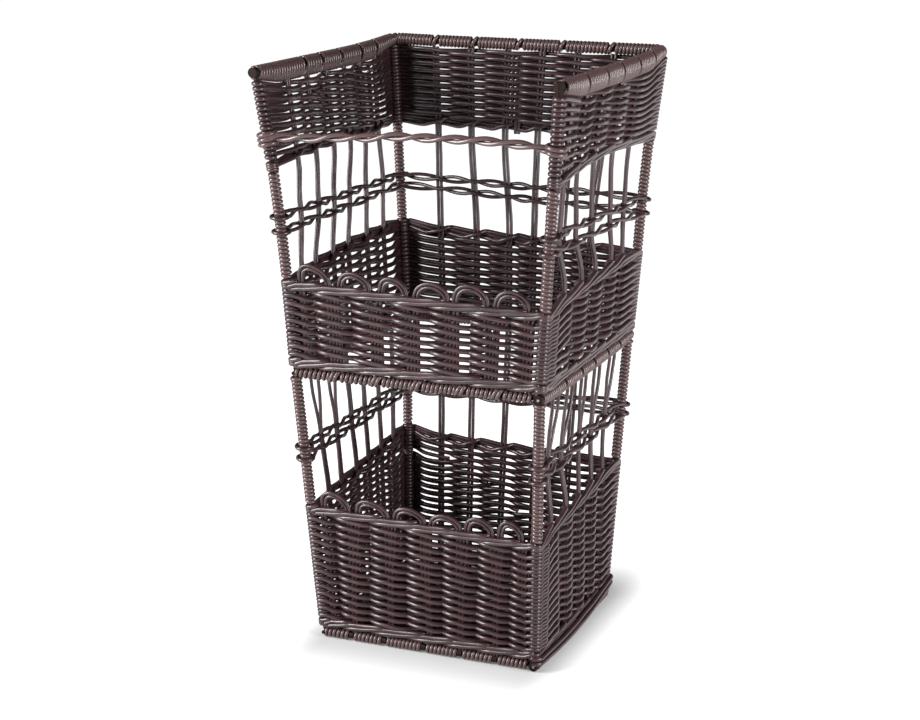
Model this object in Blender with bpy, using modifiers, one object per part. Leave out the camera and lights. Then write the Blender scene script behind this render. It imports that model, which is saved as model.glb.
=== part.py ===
# Tall bread basket: two open tiers of woven plastic strand on a frame of bound rods.
# Metres, +Z up, the open front faces -Y, and the origin is under the middle of the base.
import math

import bmesh
import bpy
from mathutils import Matrix, Vector

COLLECTION_NAME = "tall_bread_basket"

# Frame, measured between the centres of rails and posts
BASE_HALF_WIDTH = 0.1276
BASE_HALF_DEPTH = 0.1164
MIDDLE_HALF_WIDTH = 0.1419
MIDDLE_HALF_DEPTH = 0.1489
TOP_HALF_WIDTH = 0.1688
TOP_HALF_DEPTH = 0.1739
LOWER_TIER_HEIGHT = 0.3129
UPPER_TIER_HEIGHT = 0.3271

# Rods, the strand wound round them, and the space left where pieces meet
ROD_RADIUS = 0.00215
TOP_ROD_RADIUS = 0.003
STRAND_DIAMETER = 0.0041
CLEARANCE = 0.0003
ROD_SIDES = 12
WRAP_SIDES = 16

# Woven walls: depth through the weave, and edge heights above the rail that carries them
WEAVE_DEPTH = 0.0115
LOWER_WALL_HEIGHT = 0.178
UPPER_WALL_HEIGHT = 0.118
CROWN_WALL_DEPTH = 0.108
LOWER_EDGE_SHARES = {"front": (0.91, 0.825), "right": (0.845, 0.945), "back": (0.955, 0.91), "left": (0.86, 1.0)}
UPPER_EDGE_SHARES = {"front": (0.92, 0.81), "right": (0.77, 0.82), "back": (1.0, 0.885), "left": (0.91, 1.0)}
CROWN_EDGE_SHARES = {"right": (1.0, 0.88), "back": (0.915, 0.915), "left": (0.915, 0.915)}

# Open screens: paired stakes, and two woven rows that cross them at a share of the open height
STAKE_WIDTH = 2 * STRAND_DIAMETER
ROW_SPACING = 0.0145
LOWER_ROW_SHARES = {"right": (0.485, 0.42), "back": (0.425, 0.44), "left": (0.43, 0.39)}
UPPER_ROW_SHARES = {"right": (0.58, 0.415), "back": (0.43, 0.395), "left": (0.48, 0.40)}
LOWER_STAKE_FOOT_SHARES = {
    "right": (0.16, 0.34, 0.51, 0.67, 0.805),
    "back": (0.17, 0.315, 0.47, 0.625, 0.785),
    "left": (0.17, 0.30, 0.45, 0.57, 0.71, 0.835),
}
LOWER_STAKE_HEAD_SHARES = {
    "right": (0.145, 0.285, 0.435, 0.625, 0.81),
    "back": (0.17, 0.315, 0.47, 0.625, 0.785),
    "left": (0.14, 0.275, 0.41, 0.555, 0.685, 0.84),
}
UPPER_STAKE_FOOT_SHARES = {
    "right": (0.16, 0.355, 0.50, 0.68, 0.805),
    "back": (0.17, 0.325, 0.465, 0.57, 0.69, 0.805),
    "left": (0.12, 0.23, 0.37, 0.50, 0.665, 0.815),
}
UPPER_STAKE_HEAD_SHARES = {
    "right": (0.09, 0.22, 0.38, 0.57, 0.755),
    "back": (0.17, 0.305, 0.44, 0.57, 0.70, 0.825),
    "left": (0.185, 0.32, 0.46, 0.59, 0.715, 0.83),
}

# Ribs that the stakes raise in the woven walls, at the walls' feet and heads
FRONT_STAKE_WIDTH = 4 * STRAND_DIAMETER
LOWER_RIB_FOOT_SHARES = {
    "front": (0.048, 0.155, 0.33, 0.514, 0.66, 0.82, 0.95),
    "right": (0.22, 0.405, 0.58, 0.745, 0.87),
    "back": (0.17, 0.315, 0.47, 0.625, 0.785),
    "left": (0.17, 0.30, 0.455, 0.58, 0.715, 0.84),
}
LOWER_RIB_HEAD_SHARES = {"front": (0.052, 0.195, 0.36, 0.515, 0.68, 0.835, 0.948), **LOWER_STAKE_FOOT_SHARES}
UPPER_RIB_SHARES = {"front": (0.056, 0.18, 0.35, 0.497, 0.652, 0.806, 0.952), **UPPER_STAKE_FOOT_SHARES}

# Scalloped borders on the two front walls
BORDER_THICKNESS = 0.008
BORDER_ROW_HEIGHT = STRAND_DIAMETER
SCALLOP_HEIGHT = 0.011
SCALLOP_POINTS = 8
SCALLOP_LEAN_SHARE = 0.8
UPPER_SCALLOP_SHARES = (0.06, 0.19, 0.345, 0.49, 0.645, 0.79, 0.93)
LOWER_SCALLOP_SHARES = (0.05, 0.17, 0.345, 0.50, 0.66, 0.79, 0.94)

# Twisted bar across the open front, and the woven floor
BAR_HEIGHT = 0.2645
BAR_RADIUS = STRAND_DIAMETER
FLOOR_THICKNESS = 0.008

# Shading and welding
SMOOTH_ANGLE = math.radians(40)
WELD_DISTANCE = CLEARANCE / 10

# Corners of the plan, as shares of the half width and depth, and the two corners each side runs between
CORNER_SHARES = {"front_left": (-1, -1), "front_right": (1, -1), "back_left": (-1, 1), "back_right": (1, 1)}
SIDES = {
    "front": ("front_left", "front_right"),
    "right": ("front_right", "back_right"),
    "back": ("back_left", "back_right"),
    "left": ("front_left", "back_left"),
}
CLOSED_SIDES = ("right", "back", "left")

# Colours of the strand and of the rods
STRAND_COLOUR = (0.085, 0.050, 0.052, 1.0)
ROD_COLOUR = (0.060, 0.042, 0.022, 1.0)

# The rod radius, height and half plan at each level of the frame
WRAP_THICKNESS = STRAND_DIAMETER
BASE_LEVEL_HEIGHT = ROD_RADIUS + WRAP_THICKNESS
LEVELS = {
    "base": (ROD_RADIUS, BASE_LEVEL_HEIGHT, BASE_HALF_WIDTH, BASE_HALF_DEPTH),
    "middle": (ROD_RADIUS, BASE_LEVEL_HEIGHT + LOWER_TIER_HEIGHT, MIDDLE_HALF_WIDTH, MIDDLE_HALF_DEPTH),
    "top": (
        TOP_ROD_RADIUS,
        BASE_LEVEL_HEIGHT + LOWER_TIER_HEIGHT + UPPER_TIER_HEIGHT,
        TOP_HALF_WIDTH,
        TOP_HALF_DEPTH,
    ),
}
TIERS = {"lower": ("base", "middle"), "upper": ("middle", "top")}


def clear_scene():
    """Remove every object, so that the script gives the same result each run."""
    for old in list(bpy.data.objects):
        bpy.data.objects.remove(old, do_unlink=True)


def make_material(name, colour, roughness):
    """Return a Principled material."""
    material = bpy.data.materials.new(name)
    material.use_nodes = True
    shader = material.node_tree.nodes["Principled BSDF"]
    shader.inputs["Base Color"].default_value = colour
    shader.inputs["Roughness"].default_value = roughness
    shader.inputs["Metallic"].default_value = 0.0
    return material


def place(obj, name, material):
    """Name an object, give it its material and put it in the basket's collection."""
    obj.name = name
    obj.data.name = name
    obj.data.materials.clear()
    obj.data.materials.append(material)
    basket = bpy.data.collections[COLLECTION_NAME]
    for holder in list(obj.users_collection):
        holder.objects.unlink(obj)
    basket.objects.link(obj)
    return obj


def rail_radius(level):
    """Return the outer radius of a bound rail, to the flats of its winding."""
    return LEVELS[level][0] + WRAP_THICKNESS


def post_radius():
    """Return the outer radius of a bound post."""
    return ROD_RADIUS + WRAP_THICKNESS


def corner_share():
    """Return a winding's radius to its corners as a share of its radius to its flats."""
    return 1 / math.cos(math.pi / WRAP_SIDES)


def corner_point(level, corner):
    """Return the point where the rail and post centrelines meet at a corner."""
    share_x, share_y = CORNER_SHARES[corner]
    _, height, half_width, half_depth = LEVELS[level]
    return Vector((share_x * half_width, share_y * half_depth, height))


def along(start, end):
    """Return a matrix whose Z axis runs from start to end, with its origin midway."""
    direction = (end - start).normalized()
    turn = direction.to_track_quat("Z", "Y").to_matrix().to_4x4()
    return Matrix.Translation((start + end) / 2) @ turn


def add_rod(name, start, end, radius, material):
    """Model a rod between two points."""
    bpy.ops.mesh.primitive_cylinder_add(vertices=ROD_SIDES, radius=radius, depth=(end - start).length)
    rod = place(bpy.context.active_object, name, material)
    rod.matrix_world = along(start, end)
    rod.data.shade_smooth()
    rod.data.set_sharp_from_angle(angle=SMOOTH_ANGLE)
    return rod


def add_wrap(name, start, end, rod_radius, material):
    """Model the strand wound round a rod as a close sleeve with flat facets, bored for the rod."""
    flat_radius = rod_radius + WRAP_THICKNESS
    bpy.ops.mesh.primitive_cylinder_add(
        vertices=WRAP_SIDES,
        radius=flat_radius * corner_share(),
        depth=(end - start).length,
        end_fill_type="NOTHING",
    )
    wrap = place(bpy.context.active_object, name, material)
    half_facet = Matrix.Rotation(math.pi / WRAP_SIDES, 4, "Z")
    wrap.matrix_world = along(start, end) @ half_facet
    wall = wrap.modifiers.new("wall", "SOLIDIFY")
    wall.thickness = WRAP_THICKNESS - CLEARANCE
    wall.offset = -1.0
    wall.use_even_offset = True
    wrap.data.shade_smooth()
    wrap.data.set_sharp_from_angle(angle=SMOOTH_ANGLE)
    return wrap


def add_rail(level, side, rod_material, wrap_material):
    """Model a rail's rod and its winding. Side rods run past the posts, the others butt on them."""
    rod_radius = LEVELS[level][0]
    start = corner_point(level, SIDES[side][0])
    end = corner_point(level, SIDES[side][1])
    direction = (end - start).normalized()
    if side in ("left", "right"):
        overhang = direction * post_radius()
    else:
        overhang = -direction * (rod_radius + CLEARANCE)
    wrap_start = rail_radius(level) * corner_share() + CLEARANCE
    add_rod(f"{level}_{side}_rail_rod", start - overhang, end + overhang, rod_radius, rod_material)
    add_wrap(
        f"{level}_{side}_rail_wrap",
        start + direction * wrap_start,
        end - direction * wrap_start,
        rod_radius,
        wrap_material,
    )


def add_post(tier, corner, rod_material, wrap_material):
    """Model a leaning post between two side rods, with its winding."""
    low_level, high_level = TIERS[tier]
    low = corner_point(low_level, corner)
    high = corner_point(high_level, corner)
    direction = (high - low).normalized()
    slope = Vector((direction.x, direction.y)).length / direction.z
    rod_low = (LEVELS[low_level][0] + CLEARANCE) / direction.z + ROD_RADIUS * slope
    rod_high = (LEVELS[high_level][0] + CLEARANCE) / direction.z + ROD_RADIUS * slope
    wrap_low = (rail_radius(low_level) + CLEARANCE) / direction.z + post_radius() * slope
    wrap_high = (rail_radius(high_level) + CLEARANCE) / direction.z + post_radius() * slope
    add_rod(
        f"{tier}_{corner}_post_rod",
        low + direction * rod_low,
        high - direction * rod_high,
        ROD_RADIUS,
        rod_material,
    )
    add_wrap(
        f"{tier}_{corner}_post_wrap",
        low + direction * wrap_low,
        high - direction * wrap_high,
        ROD_RADIUS,
        wrap_material,
    )


class Wall:
    """The leaning plane between two posts. Its outline points are (across, up) in that plane."""

    def __init__(self, tier, side):
        low_level, high_level = TIERS[tier]
        first, last = SIDES[side]
        self.low_level = low_level
        self.high_level = high_level
        low_first = corner_point(low_level, first)
        low_last = corner_point(low_level, last)
        high_first = corner_point(high_level, first)
        high_last = corner_point(high_level, last)
        origin = (low_first + low_last) / 2
        across = (low_last - low_first).normalized()
        rise = (high_first + high_last) / 2 - origin
        up = rise.normalized()
        out = across.cross(up)
        self.height = rise.z
        self.stretch = rise.length / rise.z
        self.low_half = (low_last - low_first).length / 2
        self.high_half = (high_last - high_first).length / 2
        self.matrix = Matrix.Translation(origin) @ Matrix((across, up, out)).transposed().to_4x4()
        self.post_slope = (self.high_half - self.low_half) / rise.length

    def half_width(self, height):
        """Return half the distance between the post centrelines at a height above the low rail."""
        return self.low_half + (self.high_half - self.low_half) * height / self.height

    def end_share(self, height):
        """Return the share of the wall that a bound post covers at either end."""
        inset = (post_radius() * corner_share() + CLEARANCE) * math.hypot(1, self.post_slope)
        return inset / (2 * self.half_width(height))

    def on_edge(self, edge, share, rise=0.0):
        """Return the plane point at a share along a sloping edge, raised, and kept clear of the posts.

        The edge is a pair of heights above the low rail, at the first post and at the last.
        """
        slope = edge[1] - edge[0]
        height = edge[0] + slope * share + rise
        end_share = self.end_share(height)
        kept = min(max(share, end_share), 1 - end_share)
        height += slope * (kept - share)
        return ((2 * kept - 1) * self.half_width(height), height * self.stretch)

    def band(self, low_edge, high_edge, low_rise=0.0, high_rise=0.0):
        """Return the four corners of a band that runs from post to post."""
        return (
            self.on_edge(low_edge, 0, low_rise),
            self.on_edge(low_edge, 1, low_rise),
            self.on_edge(high_edge, 1, high_rise),
            self.on_edge(high_edge, 0, high_rise),
        )


def flat_piece(name, points, depth, wall, material):
    """Model a flat outline in a wall's plane, half its depth on each side of the plane."""
    curve = bpy.data.curves.new(name, "CURVE")
    curve.dimensions = "2D"
    curve.fill_mode = "BOTH"
    curve.extrude = depth / 2
    outline = curve.splines.new("POLY")
    outline.points.add(len(points) - 1)
    for knot, (across, up) in zip(outline.points, points):
        knot.co = Vector((across, up, 0)).to_4d()
    outline.use_cyclic_u = True
    piece = bpy.data.objects.new(name, curve)
    bpy.data.collections[COLLECTION_NAME].objects.link(piece)
    piece.matrix_world = wall.matrix
    return place(piece, name, material)


def rib_columns(wall, foot_shares, head_shares, stake_width):
    """Return a woven wall's columns as (foot share, head share, half depth).

    The wall is full at its posts and stakes, and one strand thin midway, where its rows cross. A stake
    that stands less than its half width from a post makes one rib with it.
    """
    half_share = stake_width / (4 * wall.low_half)
    post_share = wall.end_share(0) + half_share
    ribs = [[(0, 0), (0, 0)]]
    for foot, head in zip(foot_shares, head_shares):
        if foot - half_share > post_share:
            ribs.append([(foot - half_share, head - half_share), (0, 0)])
        ribs[-1][1] = (foot + half_share, head + half_share)
    if ribs[-1][1][0] < 1 - post_share:
        ribs.append([(1, 1), (1, 1)])
    ribs[-1][1] = (1, 1)
    columns = []
    for rib, following in zip(ribs, ribs[1:] + [None]):
        columns.extend((*edge, WEAVE_DEPTH / 2) for edge in dict.fromkeys(rib))
        if following:
            middle = [(last + first) / 2 for last, first in zip(rib[1], following[0])]
            columns.append((*middle, STRAND_DIAMETER / 2))
    return columns


def woven_piece(name, columns, foot, head, wall, material):
    """Model a woven wall as a grid between two edges, each an (edge, rise), with its depth mirrored."""
    body = bmesh.new()
    grid = bmesh.ops.create_grid(body, x_segments=len(columns) - 1, y_segments=1, size=1)
    for index, vert in enumerate(grid["verts"]):
        foot_share, head_share, half_depth = columns[index % len(columns)]
        if index < len(columns):
            across, up = wall.on_edge(foot[0], foot_share, foot[1])
        else:
            across, up = wall.on_edge(head[0], head_share, head[1])
        vert.co = (across, up, half_depth)
    far_side = bmesh.ops.extrude_face_region(body, geom=body.faces[:], use_keep_orig=True)
    for part in far_side["geom"]:
        if isinstance(part, bmesh.types.BMVert):
            part.co.z = -part.co.z
    bmesh.ops.recalc_face_normals(body, faces=body.faces[:])
    mesh = bpy.data.meshes.new(name)
    body.to_mesh(mesh)
    body.free()
    piece = bpy.data.objects.new(name, mesh)
    bpy.data.collections[COLLECTION_NAME].objects.link(piece)
    piece.matrix_world = wall.matrix
    return place(piece, name, material)


def to_mesh(obj):
    """Replace a curve object by its mesh, with its caps welded."""
    bpy.context.view_layer.update()
    evaluated = obj.evaluated_get(bpy.context.evaluated_depsgraph_get())
    mesh = bpy.data.meshes.new_from_object(evaluated)
    solid = bpy.data.objects.new(obj.name, mesh)
    solid.matrix_world = obj.matrix_world
    bpy.data.collections[COLLECTION_NAME].objects.link(solid)
    weld = solid.modifiers.new("weld", "WELD")
    weld.merge_threshold = WELD_DISTANCE
    bpy.data.objects.remove(obj, do_unlink=True)
    return solid


def fuse(name, pieces, material):
    """Join crossing pieces into one body."""
    solids = [to_mesh(piece) for piece in pieces]
    body = solids[0]
    for extra in solids[1:]:
        union = body.modifiers.new("union", "BOOLEAN")
        union.operation = "UNION"
        union.object = extra
    bpy.context.view_layer.update()
    evaluated = body.evaluated_get(bpy.context.evaluated_depsgraph_get())
    mesh = bpy.data.meshes.new_from_object(evaluated)
    joined = bpy.data.objects.new(name, mesh)
    joined.matrix_world = body.matrix_world
    bpy.data.collections[COLLECTION_NAME].objects.link(joined)
    for solid in solids:
        bpy.data.objects.remove(solid, do_unlink=True)
    return place(joined, name, material)


def scaled_edge(tall, shares):
    """Return a sloping edge's two heights."""
    return (tall * shares[0], tall * shares[1])


def woven_edge(tier, side):
    """Return the top edge of the woven wall that stands on a tier's low rail."""
    if tier == "lower":
        return scaled_edge(LOWER_WALL_HEIGHT, LOWER_EDGE_SHARES[side])
    return scaled_edge(UPPER_WALL_HEIGHT, UPPER_EDGE_SHARES[side])


def screen_head(tier, side, wall):
    """Return the edge that the stakes of a screen reach: the middle rail, or the crown wall's foot."""
    if tier == "lower":
        return (wall.height - rail_radius(wall.high_level),) * 2
    drop = scaled_edge(CROWN_WALL_DEPTH, CROWN_EDGE_SHARES[side])
    return (wall.height - drop[0], wall.height - drop[1])


def add_woven_walls(material):
    """Model the walls that stand on the base and middle rails, and those under the top rail."""
    rib_shares = {
        "lower": (LOWER_RIB_FOOT_SHARES, LOWER_RIB_HEAD_SHARES),
        "upper": (UPPER_RIB_SHARES, UPPER_RIB_SHARES),
    }
    for tier, (foot_shares, head_shares) in rib_shares.items():
        for side in SIDES:
            wall = Wall(tier, side)
            stake_width = FRONT_STAKE_WIDTH if side == "front" else STAKE_WIDTH
            columns = rib_columns(wall, foot_shares[side], head_shares[side], stake_width)
            foot = ((rail_radius(wall.low_level),) * 2, CLEARANCE)
            head = (woven_edge(tier, side), 0)
            woven_piece(f"{tier}_wall_{side}", columns, foot, head, wall, material)
    for side in CLOSED_SIDES:
        wall = Wall("upper", side)
        columns = rib_columns(wall, UPPER_STAKE_HEAD_SHARES[side], UPPER_STAKE_HEAD_SHARES[side], STAKE_WIDTH)
        foot = (screen_head("upper", side, wall), 0)
        head = ((wall.height - rail_radius(wall.high_level),) * 2, -CLEARANCE)
        woven_piece(f"crown_wall_{side}", columns, foot, head, wall, material)


def add_screen(tier, side, foot_shares, head_shares, row_shares, material):
    """Model the paired stakes of an open screen, with the two rows that cross them, as one body."""
    wall = Wall(tier, side)
    foot_edge = woven_edge(tier, side)
    head_edge = screen_head(tier, side, wall)
    rows_edge = [low + (high - low) * share for low, high, share in zip(foot_edge, head_edge, row_shares)]
    foot_half = STAKE_WIDTH / (4 * wall.half_width(foot_edge[0]))
    head_half = STAKE_WIDTH / (4 * wall.half_width(head_edge[0]))
    pieces = []
    for foot_share, head_share in zip(foot_shares, head_shares):
        outline = (
            wall.on_edge(foot_edge, foot_share - foot_half, CLEARANCE),
            wall.on_edge(foot_edge, foot_share + foot_half, CLEARANCE),
            wall.on_edge(head_edge, head_share + head_half, -CLEARANCE),
            wall.on_edge(head_edge, head_share - head_half, -CLEARANCE),
        )
        pieces.append(flat_piece("stake", outline, STRAND_DIAMETER, wall, material))
    for side_of_middle in (-1, 1):
        middle = side_of_middle * ROW_SPACING / 2
        outline = wall.band(rows_edge, rows_edge, middle - STRAND_DIAMETER / 2, middle + STRAND_DIAMETER / 2)
        pieces.append(flat_piece("row", outline, WEAVE_DEPTH, wall, material))
    return fuse(f"{tier}_screen_{side}", pieces, material)


def add_screens(material):
    """Model the open screens on the three closed sides of each tier."""
    for side in CLOSED_SIDES:
        add_screen(
            "lower",
            side,
            LOWER_STAKE_FOOT_SHARES[side],
            LOWER_STAKE_HEAD_SHARES[side],
            LOWER_ROW_SHARES[side],
            material,
        )
        add_screen(
            "upper",
            side,
            UPPER_STAKE_FOOT_SHARES[side],
            UPPER_STAKE_HEAD_SHARES[side],
            UPPER_ROW_SHARES[side],
            material,
        )


def add_border(tier, scallop_shares, material):
    """Model a front wall's scalloped border: one long row, with leaning arches standing on it."""
    wall = Wall(tier, "front")
    edge = woven_edge(tier, "front")
    row_top = CLEARANCE + BORDER_ROW_HEIGHT
    outline = [wall.on_edge(edge, 0, CLEARANCE), wall.on_edge(edge, 1, CLEARANCE)]
    outline.append(wall.on_edge(edge, 1, row_top))
    outline.append(wall.on_edge(edge, scallop_shares[-1], row_top))
    for first, last in reversed(list(zip(scallop_shares, scallop_shares[1:]))):
        for step in range(SCALLOP_POINTS - 1, -1, -1):
            turn = step / SCALLOP_POINTS
            rise = SCALLOP_HEIGHT * math.sin(math.pi * turn**SCALLOP_LEAN_SHARE)
            outline.append(wall.on_edge(edge, first + (last - first) * turn, row_top + rise))
    outline.append(wall.on_edge(edge, 0, row_top))
    return flat_piece(f"{tier}_scalloped_border", outline, BORDER_THICKNESS, wall, material)


def add_front_bar(material):
    """Model the twisted bar that ties the two upper front posts together."""
    wall = Wall("upper", "front")
    level = (BAR_HEIGHT,) * 2
    start = wall.matrix @ Vector((*wall.on_edge(level, 0), 0))
    end = wall.matrix @ Vector((*wall.on_edge(level, 1), 0))
    return add_rod("twisted_front_bar", start, end, BAR_RADIUS, material)


def add_floor(material):
    """Model the woven floor between the base rails."""
    gap = rail_radius("base") * corner_share() + CLEARANCE
    bpy.ops.mesh.primitive_cube_add(size=1)
    floor = place(bpy.context.active_object, "base_floor", material)
    floor.location = (0, 0, LEVELS["base"][1])
    floor.scale = (2 * (BASE_HALF_WIDTH - gap), 2 * (BASE_HALF_DEPTH - gap), FLOOR_THICKNESS)
    return floor


def main():
    """Build the basket."""
    clear_scene()
    basket = bpy.data.collections.new(COLLECTION_NAME)
    bpy.context.scene.collection.children.link(basket)
    wrap_material = make_material("bound_strand", STRAND_COLOUR, 0.35)
    weave_material = make_material("woven_strand", STRAND_COLOUR, 0.4)
    rod_material = make_material("stained_rod", ROD_COLOUR, 0.5)
    for level in LEVELS:
        for side in SIDES:
            if (level, side) != ("top", "front"):
                add_rail(level, side, rod_material, wrap_material)
    for tier in TIERS:
        for corner in CORNER_SHARES:
            add_post(tier, corner, rod_material, wrap_material)
    add_floor(weave_material)
    add_woven_walls(weave_material)
    add_screens(weave_material)
    add_border("lower", LOWER_SCALLOP_SHARES, weave_material)
    add_border("upper", UPPER_SCALLOP_SHARES, weave_material)
    add_front_bar(wrap_material)


main()
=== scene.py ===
# Tall bread basket: every strand of its weaving and of its windings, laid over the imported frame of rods.
# Metres, +Z up, the open front faces -Y.
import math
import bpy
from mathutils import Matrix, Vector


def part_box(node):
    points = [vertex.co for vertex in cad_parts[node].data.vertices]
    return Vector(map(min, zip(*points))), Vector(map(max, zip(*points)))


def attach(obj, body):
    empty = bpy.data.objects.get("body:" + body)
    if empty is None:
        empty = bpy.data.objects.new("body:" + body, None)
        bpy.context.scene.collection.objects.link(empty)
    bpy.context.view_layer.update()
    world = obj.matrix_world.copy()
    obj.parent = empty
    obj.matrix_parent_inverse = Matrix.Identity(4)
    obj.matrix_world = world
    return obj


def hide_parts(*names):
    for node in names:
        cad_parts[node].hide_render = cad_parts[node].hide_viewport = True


bl_info = {
    "name": "Tall Bread Basket",
    "version": (1, 0, 0),
    "blender": (4, 5, 0),
    "location": "3D View > Sidebar > Basket",
    "description": "Weave a tall two-tier bread basket of round strand over its frame of bound rods",
    "category": "Add Mesh",
}

import bmesh
import bpy
from mathutils import Matrix, Vector, noise

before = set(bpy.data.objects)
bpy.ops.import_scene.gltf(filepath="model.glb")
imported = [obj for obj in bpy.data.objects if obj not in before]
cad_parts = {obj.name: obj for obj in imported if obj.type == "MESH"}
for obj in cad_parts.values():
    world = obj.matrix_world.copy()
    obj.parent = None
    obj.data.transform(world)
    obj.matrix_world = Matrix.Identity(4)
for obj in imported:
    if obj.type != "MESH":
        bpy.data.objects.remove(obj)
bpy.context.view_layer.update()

# Corners of the plan, and the walls in the order in which a row passes them, each with its way out
CORNERS = {"front_left": (-1, -1), "front_right": (1, -1), "back_right": (1, 1), "back_left": (-1, 1)}
WALLS = {
    "front": ("front_left", "front_right", Vector((0, -1, 0))),
    "right": ("front_right", "back_right", Vector((1, 0, 0))),
    "back": ("back_right", "back_left", Vector((0, 1, 0))),
    "left": ("back_left", "front_left", Vector((-1, 0, 0))),
}
CLOSED_SIDES = ("right", "back", "left")
TIERS = {"lower": ("base", "middle"), "upper": ("middle", "top")}
# Walls whose stakes and rails are measured from the corner that a row passes last
MEASURED_FROM_LAST = ("back", "left")

# Top edge of the woven walls above the tier's low rail, along each wall and at each corner
EDGE = {
    "lower": {
        "front": (0.157, 0.153, 0.1475),
        "right": (0.155, 0.161, 0.170),
        "back": (0.162, 0.166, 0.170),
        "left": (0.179, 0.166, 0.153),
    },
    "upper": {
        "front": (0.1055, 0.0995, 0.0945),
        "right": (0.100, 0.105, 0.105),
        "back": (0.102, 0.107, 0.113),
        "left": (0.119, 0.118, 0.105),
    },
}
CORNER_EDGE = {
    "lower": {"front_left": 0.1575, "front_right": 0.148, "back_right": 0.165, "back_left": 0.176},
    "upper": {"front_left": 0.1055, "front_right": 0.0945, "back_right": 0.101, "back_left": 0.116},
}
# Share of a wall over which its edge is drawn in to the corner
CORNER_DRAW = 0.2
CROWN_FOOT = {
    "right": (0.2245, 0.234, 0.237, 0.2335, 0.229),
    "back": (0.229, 0.230, 0.231),
    "left": (0.2308, 0.230, 0.232, 0.2295, 0.2215),
}

# Stakes of the walls: shares of the wall at heights above the tier's low rail
STAKES = {
    ("lower", "right"): (
        (0.0, (0.22, 0.405, 0.58, 0.745, 0.87)),
        (0.155, (0.158, 0.34, 0.498, 0.66, 0.80)),
        (0.228, (0.10, 0.25, 0.46, 0.605, 0.77)),
        (0.306, (0.17, 0.325, 0.475, 0.632, 0.81)),
    ),
    ("lower", "back"): (
        (0.0, (0.17, 0.315, 0.47, 0.625, 0.785)),
        (0.306, (0.165, 0.31, 0.472, 0.625, 0.78)),
    ),
    ("lower", "left"): (
        (0.0, (0.175, 0.30, 0.455, 0.58, 0.715, 0.84)),
        (0.165, (0.171, 0.298, 0.45, 0.573, 0.709, 0.837)),
        (0.23, (0.15, 0.29, 0.43, 0.56, 0.70, 0.842)),
        (0.306, (0.138, 0.276, 0.412, 0.554, 0.686, 0.842)),
    ),
    ("upper", "right"): (
        (0.0, (0.18, 0.355, 0.50, 0.68, 0.81)),
        (0.107, (0.182, 0.355, 0.503, 0.679, 0.803)),
        (0.167, (0.085, 0.252, 0.409, 0.615, 0.774)),
        (0.227, (0.092, 0.218, 0.379, 0.573, 0.756)),
        (0.321, (0.12, 0.25, 0.41, 0.585, 0.76)),
    ),
    ("upper", "back"): (
        (0.0, (0.17, 0.325, 0.47, 0.575, 0.69, 0.805)),
        (0.105, (0.169, 0.325, 0.466, 0.57, 0.69, 0.805)),
        (0.227, (0.17, 0.305, 0.44, 0.57, 0.70, 0.825)),
        (0.321, (0.165, 0.30, 0.44, 0.57, 0.70, 0.83)),
    ),
    ("upper", "left"): (
        (0.0, (0.12, 0.23, 0.37, 0.50, 0.665, 0.815)),
        (0.105, (0.117, 0.228, 0.371, 0.50, 0.664, 0.817)),
        (0.177, (0.158, 0.299, 0.422, 0.55, 0.69, 0.841)),
        (0.227, (0.184, 0.321, 0.46, 0.592, 0.714, 0.829)),
        (0.321, (0.19, 0.325, 0.465, 0.595, 0.715, 0.835)),
    ),
    ("lower", "front"): (
        (0.0, (0.048, 0.155, 0.33, 0.514, 0.66, 0.82, 0.95)),
        (0.155, (0.052, 0.195, 0.36, 0.515, 0.68, 0.835, 0.948)),
    ),
    ("upper", "front"): (
        (0.0, (0.056, 0.18, 0.35, 0.497, 0.652, 0.806, 0.952)),
        (0.105, (0.056, 0.182, 0.352, 0.497, 0.652, 0.808, 0.952)),
    ),
}
# How far a pair of stakes spreads below the middle rail, as a share of the wall, and where it starts to
SPLAY = {"right": (0.062, 0.062, 0.055, 0.06, 0.06), "left": (0.058, 0.05, 0.02, 0.015, 0.015, 0.012)}
SPLAY_FOOT = 0.236
SPLAY_RISE = 0.05
# Crown strands that were pushed in beside a back stake: share along the wall, and the height of the cut end
PUSHED_IN = ((0.463, 0.236), (0.481, 0.2262), (0.494, 0.2262), (0.508, 0.239))

# Scallops on the front walls: left foot, top and right foot along the wall, and rise above the edge
SCALLOPS = {
    "lower": (
        (0.052, 0.095, 0.176, 0.0165),
        (0.210, 0.262, 0.350, 0.0135),
        (0.378, 0.435, 0.515, 0.0125),
        (0.538, 0.600, 0.672, 0.0120),
        (0.692, 0.742, 0.812, 0.0155),
        (0.836, 0.878, 0.942, 0.0180),
    ),
    "upper": (
        (0.050, 0.090, 0.172, 0.0175),
        (0.208, 0.262, 0.332, 0.0150),
        (0.369, 0.412, 0.475, 0.0150),
        (0.504, 0.568, 0.636, 0.0150),
        (0.655, 0.712, 0.787, 0.0180),
        (0.812, 0.870, 0.942, 0.0170),
    ),
}
# Height at which the scallops' strands end again inside the wall, and how deep they sit in its edge
SCALLOP_END = {"lower": 0.085, "upper": 0.010}
SCALLOP_SEAT = 0.006
STAKE_FOOT = 0.001

# Short rows that raise one corner: where a pair starts and ends, in walls round the tier, and the row below
SHORT_ROWS = {
    "lower": ((2.18, 3.88, 6), (2.35, 3.72, 12), (2.52, 3.58, 18), (2.70, 3.36, 23)),
    "upper": ((1.05, 4.04, 5),),
    "crown": ((0.34, 2.72, 12), (0.58, 2.42, 14)),
}
# Walls over which a short row gains its full height, how far it stops before its end, and how far behind the
# wall's middle its two ends lie
SHORT_EASE = 0.2
SHORT_TRIM = 0.07
SHORT_BEHIND = 0.0028
PLAIN_ROWS = {"lower": 28, "upper": 16, "crown": 16}
# How much thicker than the row strand the rows of a tier look
ROW_FULLNESS = {"lower": 1.0, "upper": 1.07, "crown": 1.0}
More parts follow.
